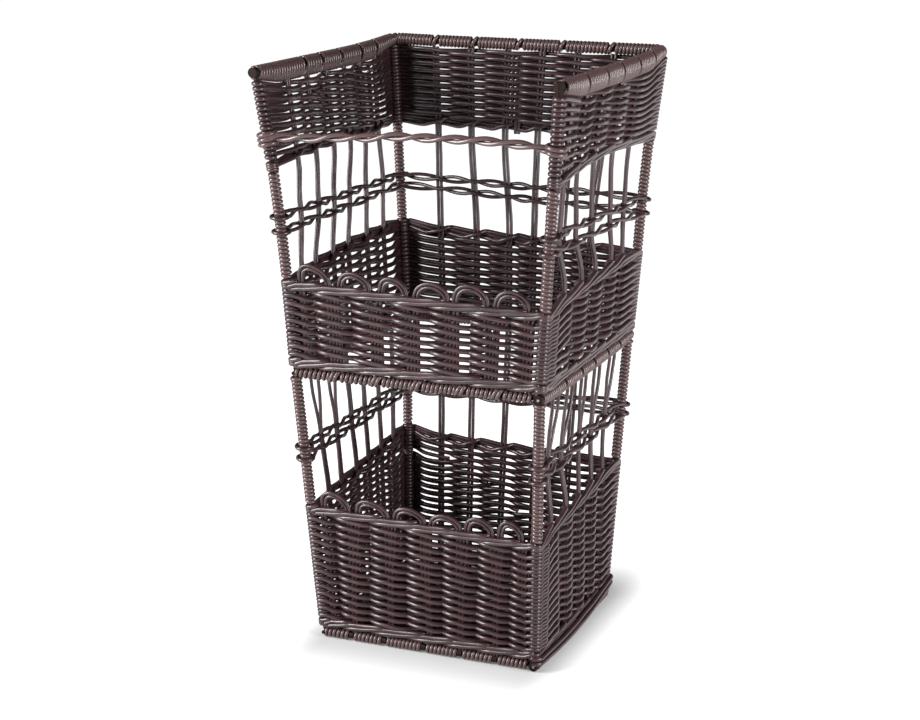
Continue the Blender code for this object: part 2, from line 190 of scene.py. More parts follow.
# Longest step between a row's points, where it crosses the wall and where it runs along one face
CROSS_STEP = 0.0042
RUN_STEP = 0.008
# How near a post a row still hugs it, as a share of a wall
POST_CLEAR = {"front": 0.006, "sides": 0.022}
# Parts of a gap between which a row dives behind, and between which it emerges
CROSSING = {"front": ((0.02, 0.74), (0.10, 0.82)), "sides": ((0.0, 0.88), (0.40, 0.98))}
# Lift of a row that passes before (1) or behind (0) a stake: the part of the gap and of the stake's half
# width at which it is set, and the lifts in the gap, left and right of the stake, in tilts
LIFTS = {
    ("front", 1): (0.45, 1.0, (1.0, 0.4, -0.45)),
    ("sides", 1): (0.45, 1.0, (1.0, 0.4, -0.45)),
    ("front", 0): (0.55, 0.8, (-1.0, 0.9, 0.4)),
    ("sides", 0): (0.55, 0.8, (-1.0, -1.0, 1.0)),
}

# Space that a wale takes, in rows
WALE_WEIGHT = 2.4
# Lifts of a wale's strands, in its heights: behind one stake, before two, and where an open wale starts
WALE_LEVELS = (0.0, -0.21, 0.21)
WALE_START = (0.0, -0.30, 0.30)
# How high a strand rises before it dives, and the same on the top wale of the right wall
WALE_SWING = 0.42
LEAF_TIP = 0.90
# Lifts of the rings that close a wale round a post
WALE_RINGS = (-0.36, 0.0, 0.36)

# Heights at which the two strands over the right wall's foot start at the front and end at the back
FOOT_STRANDS = ((0.0105, 0.0200), (0.0047, 0.0138))

# Twined rows across the open screens: height above the low rail at each corner, front right to front left
TWINED = {
    "lower": ((0.237, 0.232, 0.230, 0.226), (0.2205, 0.221, 0.219, 0.2125)),
    "upper": ((0.1735, 0.1615, 0.1695, 0.1735), (0.1575, 0.1455, 0.1575, 0.1575)),
}
TWINED_CORNERS = ("front_right", "back_right", "back_left", "front_left")
# Share of a wall next to a post over which a twined row spreads to go round it
TWINE_POST = 0.055

# Places on each rail, as shares of it, where a stake comes round and parts the windings
RAIL_BREAKS = {
    "base_front": (0.128, 0.288, 0.477, 0.65, 0.815),
    "base_right": (0.24, 0.42, 0.60, 0.76, 0.88),
    "base_back": (0.17, 0.315, 0.47, 0.625, 0.785),
    "base_left": (0.17, 0.30, 0.45, 0.57, 0.71, 0.835),
    "middle_front": (0.17, 0.345, 0.51, 0.69, 0.835),
    "middle_right": (0.225, 0.40, 0.545, 0.70, 0.845),
    "middle_back": (0.17, 0.325, 0.47, 0.575, 0.69, 0.805),
    "middle_left": (0.12, 0.23, 0.37, 0.50, 0.665, 0.815),
    "top_right": (0.20, 0.375, 0.53, 0.695, 0.855),
    "top_back": (0.16, 0.31, 0.48, 0.64, 0.82),
    "top_left": (0.30, 0.42, 0.56, 0.71, 0.83),
}
# Half length of a break, in strands
BREAK_HALF = {"base": 0.74, "side": 0.62, "front": 1.2, "back": 1.0}
# How far two of the upper posts bow sideways along their height
BOW = {
    ("upper", "front_left"): (0.0, 0.0030, 0.0050, 0.0060, 0.0058, 0.0040, 0.0010),
    ("upper", "back_right"): (0.0, -0.0010, -0.0020, -0.0040, -0.0045, -0.0030, -0.0015),
}
# How far the rim rises above its level, along each wall in the rows' order
RIM_RISE = {
    "right": (0.0, 0.0, 0.0, 0.0, 0.0003, 0.0010, 0.0030),
    "back": (0.0030, 0.0032, 0.0034, 0.0034, 0.0036, 0.0045),
    "left": (0.0045, 0.0018, 0.0002, 0.0, 0.0, 0.0, 0.0),
}
# Rails whose windings are laid less closely
LOOSE = {
    "base_front": 1.07,
    "middle_front": 1.17,
    "middle_right": 1.2,
    "middle_left": 1.2,
    "top_left": 1.24,
    "top_right": 1.24,
}
# How much thicker the side rails are where stake ends are bound in: sideways, and downwards
SIDE_SWELL = {"base": (0.0002, 0.0), "middle": (0.0009, 0.0030), "top": (0.0012, 0.0092)}

# Height of the twisted bar along the front
BAR_LINE = (
    (0.0, 0.2595),
    (0.13, 0.2605),
    (0.31, 0.2640),
    (0.48, 0.2682),
    (0.75, 0.2690),
    (0.88, 0.2675),
    (1.0, 0.2635),
)
# Turns of the bar round the posts: height, strands below it at which they start, count and tilt
BAR_TIES = (("front_left", 0.2575, 1, 3, 0.0009), ("front_right", 0.2615, 0, 2, -0.001))

# Finishes of the pieces: the slot in the record, and how fast the strand's tone drifts each way
ROD_LOOK = "stained_rod_finish"
LOOKS = {
    "row_strand": ("woven_strand", (9.0, 9.0, 230.0)),
    "stake_strand": ("woven_strand", (150.0, 150.0, 8.0)),
    "bound_strand": ("bound_strand", (60.0, 60.0, 60.0)),
    ROD_LOOK: ("stained_rod", None),
}

# Camera of the photograph: place, lens in mm, and degrees that it looks down and turns left
CAMERA_PLACE = (0.81598, -1.98178, 0.8772)
CAMERA_LENS = 76.54
CAMERA_DROP = 14.803
CAMERA_TURN = 22.618

# Painted shade round the basket's foot, where the floor's glow is turned down and the lamps' shadow also
# shows: the part under the basket, how fast the glow returns sideways and forwards, over which distance, and
# from which strength
PAINTED_SHADE_FOOT = (0.12, 0.12, 0.0)
PAINTED_SHADE_STRETCH = (2.2, 1.0, 0.0)
PAINTED_SHADE_WIDTH = 0.15
PAINTED_SHADE_GLOW = 0.15

# Lamps: place, width, length and power
LAMPS = {
    "key_lamp": ((-2.0, -1.8, 1.35), 1.1, 2.0, 190.0),
    "right_lamp": ((2.2, -0.5, 0.9), 1.1, 1.5, 74.0),
    "front_lamp": ((-0.3, -2.6, 2.0), 0.8, 0.8, 2.0),
}
LAMP_AIM = Vector((0, 0, 0.33))


def length_value(name, about, value, digits=4):
    """Describe a length that the sidebar can change."""
    looks = {"precision": digits, "unit": "LENGTH"}
    return bpy.props.FloatProperty(name=name, description=about, default=value, **looks)


def colour_value(name, about, value):
    """Describe a colour that the sidebar can change."""
    return bpy.props.FloatVectorProperty(name=name, description=about, subtype="COLOR", size=3, default=value)


class BasketSizes(bpy.types.PropertyGroup):
    """Sizes of the strands and of their laying"""

    strand: length_value("Strand", "Thickness of the woven strand", 0.0045)
    row_strand: length_value("Row strand", "Thickness of the strand of the rows", 0.0052)
    stake_strand: length_value("Stake strand", "Thickness of the strand of the stakes", 0.0041)
    bound: length_value("Bound strand", "Thickness of the tightly wound strand", 0.0044)
    bound_out: length_value("Bound rod", "Distance from a rod's middle to its winding's", 0.0042)
    rod: length_value("Rod", "Thickness of the rods inside the windings", 0.0043)
    top_rod: length_value("Top rod", "Thickness of the rods of the rim", 0.006)
    rail_turn: length_value("Rail turn", "Length of rail per turn of the winding", 0.0045)
    post_turn: length_value("Post turn", "Length of post per turn of the winding", 0.0045)
    pair_gap: length_value("Pair gap", "Distance between the two strands of a stake", 0.0044)
    group_gap: length_value("Group gap", "Distance between the strands of a stake of the front walls", 0.0039)
    reach: length_value("Reach", "How far a row stands off the stakes' middle", 0.0040)
    uneven: length_value("Unevenness", "How far hand-laid rows wander", 0.0003, 5)
    bar_twist: length_value("Bar twist", "Length of one full twist of the front bar", 0.066)
    bar_strand: length_value("Bar strand", "Thickness of the strand of the front bar", 0.0050)
    mat_row: length_value("Mat row", "Distance between the rows of the floor", 0.0050)
    # The collar is bare rod made twice as thick as the rod and dark, so that it also paints the shade in the
    # windings' gaps
    collar: length_value("Collar", "Thickness of the bare rod between windings", 0.0086)
    rod_end: length_value("Rod end", "Thickness of the side rods' bare ends", 0.0108)
    rim_bend: length_value("Rim bend", "Radius of the rim's two back corners", 0.012)
    tilt: length_value("Tilt", "How far a row of a front wall starts above its line", 0.0019)
    side_tilt: length_value("Side tilt", "How far a row of the other walls starts above its line", 0.0005)
    post_lift: length_value("Post lift", "How far a row rises as it goes round a post", 0.0012)
    bulge: length_value("Bulge", "How far a row stands off a side stake", 0.0012)


class BasketColours(bpy.types.PropertyGroup):
    """Colours of the strand, the rods and the stage"""

    strand: colour_value("Strand", "Main colour of the strand", (0.050, 0.023, 0.026))
    strand_dark: colour_value("Dark strand", "Colour of the darker lengths", (0.020, 0.009, 0.011))
    rod: colour_value("Rod", "Colour of the stained rods", (0.022, 0.012, 0.009))
    rod_dark: colour_value("Dark rod", "Colour of the rods' grain", (0.006, 0.004, 0.003))
    floor: colour_value("Floor", "Colour of the stage", (0.42, 0.42, 0.42))


def read_level(level):
    """Read a level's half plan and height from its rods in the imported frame."""
    side_low, side_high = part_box(f"{level}_right_rail_rod")
    back_low, back_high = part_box(f"{level}_back_rail_rod")
    return ((side_low.x + side_high.x) / 2, (back_low.y + back_high.y) / 2, (side_low.z + side_high.z) / 2)


LEVELS = {level: read_level(level) for level in ("base", "middle", "top")}


def clamp(value):
    """Keep a share from 0 to 1."""
    return min(max(value, 0.0), 1.0)


def smooth(step):
    """Ease a share from 0 to 1."""
    step = clamp(step)
    return step * step * (3 - 2 * step)


def read_along(values, share):
    """Read evenly spaced values at a share of their length."""
    place = clamp(share) * (len(values) - 1)
    index = min(int(place), len(values) - 2)
    return values[index] + (values[index + 1] - values[index]) * (place - index)


def bracket(knots, place):
    """Return the knots on both sides of a place, and the share of the way from one to the other."""
    after = next((number for number, knot in enumerate(knots) if knot[0] >= place), len(knots) - 1)
    low, high = knots[max(after, 1) - 1], knots[max(after, 1)]
    return low, high, (place - low[0]) / max(high[0] - low[0], 1e-6)


def read_knots(knots, place, ease=smooth):
    """Read a value that goes from knot to knot: (place, value)."""
    low, high, part = bracket(knots, place)
    return low[1] + (high[1] - low[1]) * ease(part)


def tier_height(tier):
    """Return the height between a tier's two rails."""
    return LEVELS[TIERS[tier][1]][2] - LEVELS[TIERS[tier][0]][2]


def post_point(tier, corner, height):
    """Return the point on a post's middle line at a height above the tier's low rail."""
    low = LEVELS[TIERS[tier][0]]
    high = LEVELS[TIERS[tier][1]]
    share = height / (high[2] - low[2])
    side_x, side_y = CORNERS[corner]
    bow = read_along(BOW[(tier, corner)], share) if (tier, corner) in BOW else 0.0
    across = side_x * (low[0] + (high[0] - low[0]) * share) + bow
    return Vector((across, side_y * (low[1] + (high[1] - low[1]) * share), low[2] + height))


def post_way(tier, corner):
    """Return the way in which a post leans over its first 0.3 m."""
    return post_point(tier, corner, 0.3) - post_point(tier, corner, 0.0)


def wall_length(tier, side, height):
    """Return the distance between a wall's two posts at a height."""
    first, last, _ = WALLS[side]
    return (post_point(tier, last, height) - post_point(tier, first, height)).length


def wall_point(tier, side, share, height, out=0.0):
    """Return a point of a wall, off its middle plane by a distance outwards."""
    first, last, way_out = WALLS[side]
    return post_point(tier, first, height).lerp(post_point(tier, last, height), share) + way_out * out


def edge_height(tier, side, share):
    """Return the height of the woven wall's top edge, drawn in to the corners."""
    first, last, _ = WALLS[side]
    line = EDGE[tier][side]
    height = read_along(line, share)
    height += (CORNER_EDGE[tier][first] - line[0]) * max(0.0, 1 - share / CORNER_DRAW) ** 2
    height += (CORNER_EDGE[tier][last] - line[-1]) * max(0.0, 1 - (1 - share) / CORNER_DRAW) ** 2
    return height


def stake_shares(tier, side, height):
    """Return the stakes' places along a wall at a height, from its first corner."""
    low, high, part = bracket(STAKES[(tier, side)], height)
    shares = [start + (end - start) * smooth(part) for start, end in zip(low[1], high[1])]
    return [1 - share for share in reversed(shares)] if side in MEASURED_FROM_LAST else shares


def wander(seed, place, size):
    """Return a small steady deviation for a strand, the same each time."""
    return size * noise.noise(Vector((seed * 7.31, place * 3.7, seed * 1.7 + 0.5)))


def hug(sizes, strands=0.5):
    """Return how far from a rod's middle a strand's middle runs, some strands off its skin."""
    return sizes.rod / 2 + sizes.strand * strands


def turned(angle, radius):
    """Return the level way at a compass angle in degrees, of a length."""
    return Vector((math.cos(math.radians(angle)), math.sin(math.radians(angle)), 0)) * radius


def corner_arc(tier, corner, height, radius, start, end, steps):
    """Return points round a post, between two compass angles in degrees."""
    middle = post_point(tier, corner, height)
    return [middle + turned(start + (end - start) * step / steps, radius) for step in range(steps + 1)]


def out_angle(side):
    """Return the compass angle of a wall's way out, in degrees."""
    way_out = WALLS[side][2]
    return math.degrees(math.atan2(way_out.y, way_out.x))


def add_node(tree, kind, values=None, **settings):
    """Add a shader node, feed its sockets with numbers or other nodes' outputs, and return its outputs."""
    node = tree.nodes.new(f"ShaderNode{kind}")
    for name, value in settings.items():
        setattr(node, name, value)
    feed(tree, node.inputs, values or {})
    return node.outputs


def feed(tree, sockets, values):
    """Give sockets, by name or number, a plain value or another node's output."""
    for name, value in values.items():
        if isinstance(value, bpy.types.NodeSocket):
            tree.links.new(value, sockets[name])
        else:
            sockets[name].default_value = value


def add_tones(tree, amount, low, dark, high, light):
    """Return a colour that goes from dark to light as an amount goes from low to high."""
    ramp = tree.nodes.new("ShaderNodeValToRGB")
    for element, place, colour in zip(ramp.color_ramp.elements, (low, high), (dark, light)):
        element.position = place
        element.color = (*colour, 1)
    tree.links.new(amount, ramp.inputs["Fac"])
    return ramp.outputs["Color"]


def new_material(name):
    """Return a new material with its node tree and its shader's sockets."""
    material = bpy.data.materials.new(name)
    material.use_nodes = True
    return material, material.node_tree, material.node_tree.nodes["Principled BSDF"].inputs


def strand_material(name, colours, drift_scale):
    """Make the finish of the plastic strand, its tone drifting along the strands."""
    material, tree, shader = new_material(name)
    place = add_node(tree, "TexCoord")["Object"]
    along = add_node(tree, "Mapping", {"Vector": place, "Scale": drift_scale})["Vector"]
    drift = add_node(tree, "TexNoise", {"Vector": along, "Scale": 1.0, "Detail": 2.0})["Fac"]
    scuff = add_node(tree, "TexNoise", {"Vector": place, "Scale": 900.0, "Detail": 3.0})["Fac"]
    grain = add_node(tree, "TexNoise", {"Vector": place, "Scale": 2600.0, "Detail": 4.0})["Fac"]
    finish = {
        "Base Color": add_tones(tree, drift, 0.30, colours.strand_dark, 0.66, colours.strand),
        "Metallic": 0.0,
        "IOR": 1.5,
        "Specular IOR Level": 0.5,
        "Roughness": add_node(tree, "MapRange", {"Value": scuff, "To Min": 0.22, "To Max": 0.36})["Result"],
        "Normal": add_node(tree, "Bump", {"Height": grain, "Strength": 0.12, "Distance": 0.0004})["Normal"],
    }
    feed(tree, shader, finish)
    return material


def rod_material(name, colours):
    """Make the finish of the stained rods, with their grain."""
    material, tree, shader = new_material(name)
    place = add_node(tree, "TexCoord")["Object"]
    values = {"Vector": place, "Scale": 260.0, "Detail": 6.0, "Distortion": 0.6}
    grain = add_node(tree, "TexNoise", values)["Fac"]
    finish = {
        "Base Color": add_tones(tree, grain, 0.35, colours.rod_dark, 0.68, colours.rod),
        "Metallic": 0.0,
        "Specular IOR Level": 0.08,
        "Roughness": add_node(tree, "MapRange", {"Value": grain, "To Min": 0.35, "To Max": 0.62})["Result"],
        "Normal": add_node(tree, "Bump", {"Height": grain, "Strength": 0.3, "Distance": 0.0005})["Normal"],
    }
    feed(tree, shader, finish)
    return material


def nail_material():
    """Make the dull steel of the nails."""
    material, tree, shader = new_material("nail_steel")
    place = add_node(tree, "TexCoord")["Object"]
    spots = add_node(tree, "TexNoise", {"Vector": place, "Scale": 1500.0})["Fac"]
    steel = add_tones(tree, spots, 0.0, (0.16, 0.15, 0.14), 1.0, (0.42, 0.41, 0.40))
    feed(tree, shader, {"Base Color": steel, "Metallic": 1.0, "Roughness": 0.4})
    return material


def finish_for(look):
    """Return the finish of the rods or of a kind of strand, made once."""
    colours = bpy.context.scene.basket_colours
    found = bpy.data.materials.get(look)
    if found:
        return found
    if look == ROD_LOOK:
        return rod_material(look, colours)
    return strand_material(look, colours, LOOKS[look][1])


def link_piece(name, mesh, material, nodes):
    """Put a finished mesh in the scene as a piece that rides on the basket."""
    mesh.name = name
    mesh.materials.clear()
    mesh.materials.append(material)
    piece = bpy.data.objects.new(name, mesh)
    bpy.context.scene.collection.objects.link(piece)
    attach(piece, "root")
    if nodes:
        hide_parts(*nodes)
    return piece


def lay_strands(name, runs, thickness, look, nodes=(), resolution=2):
    """Lay round strands along lists of points, and make them one mesh piece. A run is (points, closed)."""
    curve = bpy.data.curves.new(name, "CURVE")
    curve.dimensions = "3D"
    curve.bevel_depth = thickness / 2
    curve.bevel_resolution = resolution
    curve.use_fill_caps = True
    for points, closed in runs:
        spline = curve.splines.new("POLY")
        spline.points.add(len(points) - 1)
        spline.points.foreach_set("co", [value for point in points for value in (*point, 1.0)])
        spline.use_cyclic_u = closed
    holder = bpy.data.objects.new(name, curve)
    bpy.context.scene.collection.objects.link(holder)
    bpy.context.view_layer.update()
    evaluated = holder.evaluated_get(bpy.context.evaluated_depsgraph_get())
    mesh = bpy.data.meshes.new_from_object(evaluated)
    bpy.data.objects.remove(holder, do_unlink=True)
    bpy.data.curves.remove(curve)
    mesh.shade_smooth()
    mesh.set_sharp_from_angle(angle=math.radians(50))
    if len(mesh.polygons) == 0:
        raise RuntimeError(f"{name} came out empty")
    return link_piece(name, mesh, finish_for(look), nodes)


class Course:
    """The way that the rows of a tier take: its walls in order, its stakes, and the height of each row."""

    def __init__(self, kind, sizes):
        self.kind = kind
        self.closed = kind != "crown"
        self.tier = "lower" if kind == "lower" else "upper"
        self.sides = tuple(WALLS) if self.closed else CLOSED_SIDES
        self.sizes = sizes
        self.around = hug(sizes)
        self.rows = self.plan_rows()

    def plan_rows(self):
        """List the rows from the bottom: (kind, side of the first stake, where it starts and ends)."""
        wale = ("wale", 0, None)
        rows = [wale]
        for index in range(PLAIN_ROWS[self.kind]):
            rows.append(("plain", index % 2, None))
            for start, end, below in SHORT_ROWS[self.kind]:
                if below == index:
                    rows.append(("plain", (index + 1) % 2, (start, end)))
                    rows.append(("plain", index % 2, (start, end)))
        return rows + [wale] if self.closed else rows

    def weight(self, row, place):
        """Return the space that a row takes at a place round the tier."""
        kind, _, span = row
        if kind == "wale":
            return WALE_WEIGHT
        if span is None:
            return 1.0
        ends = [min(at - span[0], span[1] - at) for at in (place, place + 4 * self.closed)]
        return smooth(max(ends) / SHORT_EASE)

    def limits(self, side, share):
        """Return the lowest and highest edge of the weaving at a share of a wall."""
        sizes = self.sizes
        if self.kind != "crown":
            return hug(sizes, 1) + 0.0004, edge_height(self.tier, side, share)
        top = tier_height("upper") - sizes.top_rod / 2 - sizes.strand - 0.0006
        if side != "back":
            length = 2 * LEVELS["top"][1]
            along = (share if side == "right" else 1 - share) * length
            top -= SIDE_SWELL["top"][1] * swell_part("top", along, length)
        return read_along(CROWN_FOOT[side], share), top + read_along(RIM_RISE[side], share)

    def height(self, index, place):
        """Return a row's height at a place round the tier, and the space that it has there."""
        count = len(self.sides)
        wall = int(place) % count if self.closed else min(int(place), count - 1)
        low, high = self.limits(self.sides[wall], place - (int(place) if self.closed else wall))
        weights = [self.weight(row, place) for row in self.rows]
        middle = sum(weights[:index]) + weights[index] / 2
        unit = (high - low) / sum(weights)
        uneven = wander(index + (0.3 if self.kind == "upper" else 0.0), place, self.sizes.uneven)
        return low + unit * middle + uneven, unit

    def half_stake(self, side, height):
        """Return half the width of a stake where a row crosses it."""
        sizes = self.sizes
        if side != "front":
            return (sizes.pair_gap + sizes.strand) / 2
        gaps = 1 if self.kind == "lower" and height < SCALLOP_END["lower"] else 3
        return (sizes.group_gap * gaps + sizes.strand) / 2

    def stations(self, index):
        """List the stakes and posts that a row passes: (place, wall, half width as a share)."""
        found = []
        for number, side in enumerate(self.sides):
            if number or self.closed:
                found.append((float(number), "post", 0.0))
            guess, _ = self.height(index, number + 0.5)
            shares = stake_shares(self.tier, side, guess)
            for place, share in enumerate(shares):
                height, _ = self.height(index, number + share)
                half = self.half_stake(side, height) / wall_length(self.tier, side, height)
                if side == "front" and place in (0, len(shares) - 1):
                    half *= 0.5
                found.append((number + stake_shares(self.tier, side, height)[place], side, half))
        return found


def row_points(course, knots, heights):
    """Return (place, point, off) along a row.

    Knots are (place, off) where the strand's distance from the wall's plane is set, and heights gives
    the strand's height at a place.
    """
    tier = course.tier
    around = course.around
    found = []
    for number, side in enumerate(course.sides):
        end = number + 1.0
        if number or course.closed:
            start = out_angle(side) - 90
            arc = corner_arc(tier, WALLS[side][0], heights(number), around, start, start + 90, 5)
            found += [(float(number), point, around) for point in arc]
        before = (float(number), around)
        for knot in [knot for knot in knots if number <= knot[0] <= end] + [(end, around)]:
            gap = knot[0] - before[0]
            step_length = CROSS_STEP if knot[1] != before[1] else RUN_STEP
            steps = max(1, round(gap * wall_length(tier, side, 0.1) / step_length))
            meets_arc = knot[0] == end and (course.closed or side != course.sides[-1])
            for step in range(1, steps + (0 if meets_arc else 1)):
                place = before[0] + gap * step / steps
                off = before[1] + (knot[1] - before[1]) * smooth(step / steps)
                found.append((place, wall_point(tier, side, place - number, heights(place), off), off))
            before = knot
    return found


def plain_row(course, index):
    """Return the runs of a row that goes before and behind the stakes in turn."""
    sizes = course.sizes
    _, parity, span = course.rows[index]
    knots = []
    lifts = [(0.0, sizes.post_lift)]
    ended = (0.0, course.around)
    for count, (place, side, half) in enumerate(course.stations(index), parity):
        is_out = count % 2
        group = "front" if side == "front" else "sides"
        if side == "post":
            half = POST_CLEAR["front" if course.closed and place < 1.5 else "sides"]
            last = POST_CLEAR["front" if course.closed and place < 0.5 else "sides"]
            off = course.around
        else:
            last = half * (0.1 if is_out and group == "sides" else 1.0)
            off = sizes.reach if is_out else -sizes.reach
            off += wander(index * 3.1 + 40, place, 0.0002)
            off += sizes.bulge if is_out and group == "sides" else 0.0
        gap = place - half - ended[0]
        if off * ended[1] < 0:
            dive, emerge = CROSSING[group][1 if off > 0 else 0]
            knots.extend(((ended[0] + gap * dive, ended[1]), (ended[0] + gap * emerge, off)))
        if side == "post":
            lifts.extend(((place - half, sizes.post_lift), (place + last, sizes.post_lift)))
        else:
            tilt = sizes.tilt if group == "front" else sizes.side_tilt
            part, width, (middle, left, right) = LIFTS[(group, is_out)]
            lifts.append((ended[0] + gap * part, tilt * middle))
            lifts.extend(((place - half * width, tilt * left), (place + half * width, tilt * right)))
        knots.extend(((place - half, off), (place + last, off)))
        if side == "post" and last > half:
            knots.append((place + last * 2.4, off + sizes.bulge * 1.8))
        ended = knots[-1]
    lifts.append((float(len(course.sides)), sizes.post_lift))

    def heights(place):
        return course.height(index, place)[0] + read_knots(lifts, place, clamp)

    found = row_points(course, knots, heights)
    if span is None:
        return [([point for _, point, _ in found], course.closed)]
    return short_row(course, span, found)


def short_row(course, span, found):
    """Return the run of a row between the places where it starts and ends, both behind a stake."""
    start, end = span
    if course.closed:
        found = found + [(place + 4, point, off) for place, point, off in found]
    kept = [entry for entry in found if start + SHORT_TRIM <= entry[0] <= end - SHORT_TRIM]
    inside = [number for number, entry in enumerate(kept) if entry[2] < -SHORT_BEHIND]
    return [([point for _, point, _ in kept[inside[0] : inside[-1] + 1]], False)] if inside else []


def wale_rows(course, index):
    """Return the runs of the three strands that go before two stakes and behind one."""
    reach = course.sizes.reach
    stations = course.stations(index)
    is_top = index == len(course.rows) - 1
    rounds = 3 if course.closed and len(stations) % 3 else 1
    runs = []
    for strand in (0,) if rounds == 3 else (0, 1, 2):
        points = []
        for turn in range(rounds):
            order = turn * len(stations) + strand
            knots = []
            levels = [] if course.closed else [(0.0, WALE_START[(strand + 2) % 3])]
            for number, (place, side, half) in enumerate(stations):
                state = (number + order) % 3
                gap = place - (stations[number - 1][0] if number else 0.0)
                if side == "post":
                    knots.extend((place + step, course.around) for step in (-0.006, 0.0, 0.006))
                else:
                    knots.extend((place + step, reach if state else -reach) for step in (-half, half))
                if number and state == 0:
                    rise = LEAF_TIP if is_top and side == "right" else WALE_SWING
                    levels.append((place - half - gap * 0.10, rise))
                    knots.append((place - half - gap * 0.16, reach + 0.0006))
                elif number and state == 1:
                    levels.append((place - gap * 0.62, -WALE_SWING))
                levels.append((place, WALE_LEVELS[state]))
            levels.append((float(len(course.sides)), WALE_LEVELS[(len(stations) + order) % 3]))

            def heights(place, levels=levels):
                middle, unit = course.height(index, place)
                return middle + read_knots(levels, place) * WALE_WEIGHT * unit

            found = row_points(course, sorted(knot for knot in knots if knot[0] >= 0), heights)
            points.extend(point for _, point, _ in found)
        runs.append((points, course.closed))
    return runs


def inner_rings(course, index):
    """Return the short runs that close a row's ring round each post, on the inside."""
    runs = []
    for number, side in enumerate(course.sides):
        height, unit = course.height(index, float(number))
        if not (number or course.closed) or course.weight(course.rows[index], float(number)) < 0.9:
            continue
        if course.rows[index][0] == "wale":
            heights = [height + level * WALE_WEIGHT * unit for level in WALE_RINGS]
        else:
            heights = [height + course.sizes.post_lift]
        start = out_angle(side) + 22
        for lifted in heights:
            arc = corner_arc(course.tier, WALLS[side][0], lifted, course.around, start, start + 226, 9)
            runs.append((arc, False))
    return runs


def end_turns(course, runs):
    """Carry the open rows of the crown round the front posts."""
    low = LEVELS["middle"][2]
    front = -0.14
    longer = []
    for points, closed in runs:
        first, last = points[0], points[-1]
        if first.y < front and first.x > 0:
            lead = corner_arc("upper", "front_right", first.z - low, course.around, -250, 0, 11)
            points = lead[:-1] + points
        if last.y < front and last.x < 0:
            tail = corner_arc("upper", "front_left", last.z - low, course.around, 180, 430, 11)
            points = points + tail[1:]
        longer.append((points, closed))
    return longer


def foot_strands(sizes):
    """Return the two strands that lie over the foot of the right wall and loop round its back post."""
    near = hug(sizes, 1.4)
    runs = []
    for number, (level, high) in enumerate(FOOT_STRANDS):
        points = corner_arc("lower", "front_right", level, near, -90, 0, 4)
        for share in [step / 24 for step in range(1, 24)]:
            bulge = math.sin(math.pi * share)
            out = near + (0.0004 + 0.0016 * number) * bulge ** 0.7
            height = level + (high - level) * share ** 2 - 0.0036 * bulge
            height += wander(number * 4 + 2, share * 2, 0.0008)
            points.append(wall_point("lower", "right", share, height, out))
        runs.append((points + corner_arc("lower", "back_right", high, near, 0, 162, 8), False))
    return runs


def weave(kind, sizes):
    """Return every run of one band of weaving."""
    course = Course(kind, sizes)
    runs = foot_strands(sizes) if kind == "lower" else []
    for index, row in enumerate(course.rows):
        laid = wale_rows(course, index) if row[0] == "wale" else plain_row(course, index)
        runs.extend(laid if course.closed else end_turns(course, laid))
        runs.extend(inner_rings(course, index))
    return runs


class Line:
    """A line through points, read by the distance from its start."""

    def __init__(self, points):
        self.points = points
        self.length = 0.0
        self.knots = []
        for before, point, after in zip([points[0], *points], points, [*points[1:], points[-1]]):
            self.length += (point - before).length
            self.knots.append((self.length, point, (after - before).normalized()))

    def read(self, distance):
        """Return the point and the line's way there; past an end the line runs on straight."""
        low, high, part = bracket(self.knots, distance)
        return low[1].lerp(high[1], part), low[2].lerp(high[2], clamp(part)).normalized()


def cross_ways(way):
    """Return the two ways across a line."""
    helper = Vector((0, 0, 1)) if abs(way.z) < 0.9 else Vector((1, 0, 0))
    across = way.cross(helper).normalized()
    return across, across.cross(way).normalized()


def winding(line, radius, turn, low, high, breaks=(), swell=None):
    """Return the runs of a strand wound round a line, parted at the breaks: (distance, half length)."""
    sides = 13
    edges = [low, *(edge for place, half in sorted(breaks) for edge in (place - half, place + half)), high]
    runs = []
    for first, last in zip(edges[0::2], edges[1::2]):
        turns = max(1, round((last - first) / turn))
        points = []
        for step in range(turns * sides + 1):
            angle = math.pi / 2 + 2 * math.pi * step / sides
            place = first + (last - first) / turns * step / sides
            point, way = line.read(place)
            across, up = cross_ways(way)
            wider, deeper = swell(place) if swell else (0.0, 0.0)
            off = across * (math.cos(angle) * (radius + wider))
            off += up * (math.sin(angle) * (radius + deeper / 2) - deeper / 2)
            points.append(point + off)
        runs.append((points, False))
    return runs


def ring(middle, along, radius, tilt=0.0):
    """Return one closed turn of strand round a line."""
    sides = 14
    along = along.normalized()
    across, up = cross_ways(along)
    points = []
    for angle in [2 * math.pi * step / sides for step in range(sides)]:
        lift, side = math.sin(angle), math.cos(angle)
        points.append(middle + (across * side + up * lift) * radius + along * (tilt * lift))
    return (points, True)


def rail_line(level, side, sizes):
    """Return a rail's middle line, left to right or front to back; the rim is bent at its back corners."""
    half_width, half_depth, height = LEVELS[level]
    corners = [CORNERS[corner] for corner in WALLS[side][:2]]
    start, end = [Vector((x * half_width, y * half_depth, height)) for x, y in corners]
    if side in MEASURED_FROM_LAST:
        start, end = end, start
    if level != "top":
        return Line([start, end])
    bend = sizes.rim_bend
    left_middle = Vector((-half_width + bend, half_depth - bend, height))
    right_middle = Vector((half_width - bend, half_depth - bend, height))
    steps = [number / 5 for number in range(6)]
    if side == "back":
        points = [left_middle + turned(135 - 45 * step, bend) for step in steps]
        points += [start.lerp(end, number / 12) for number in range(1, 12)]
        points += [right_middle + turned(90 - 45 * step, bend) for step in steps]
    else:
        middle, first, last = (right_middle, 0, 45) if side == "right" else (left_middle, 180, 135)
        points = [start.lerp(end - Vector((0, bend, 0)), number / 14) for number in range(14)]
        points += [middle + turned(first + (last - first) * step, bend) for step in steps]
    for point in points:
        past = point - start
        share = (past.x if side == "back" else past.y) / (end - start).length
        point.z += read_along(RIM_RISE[side], share if side == "right" else 1 - share)
    return Line(points)


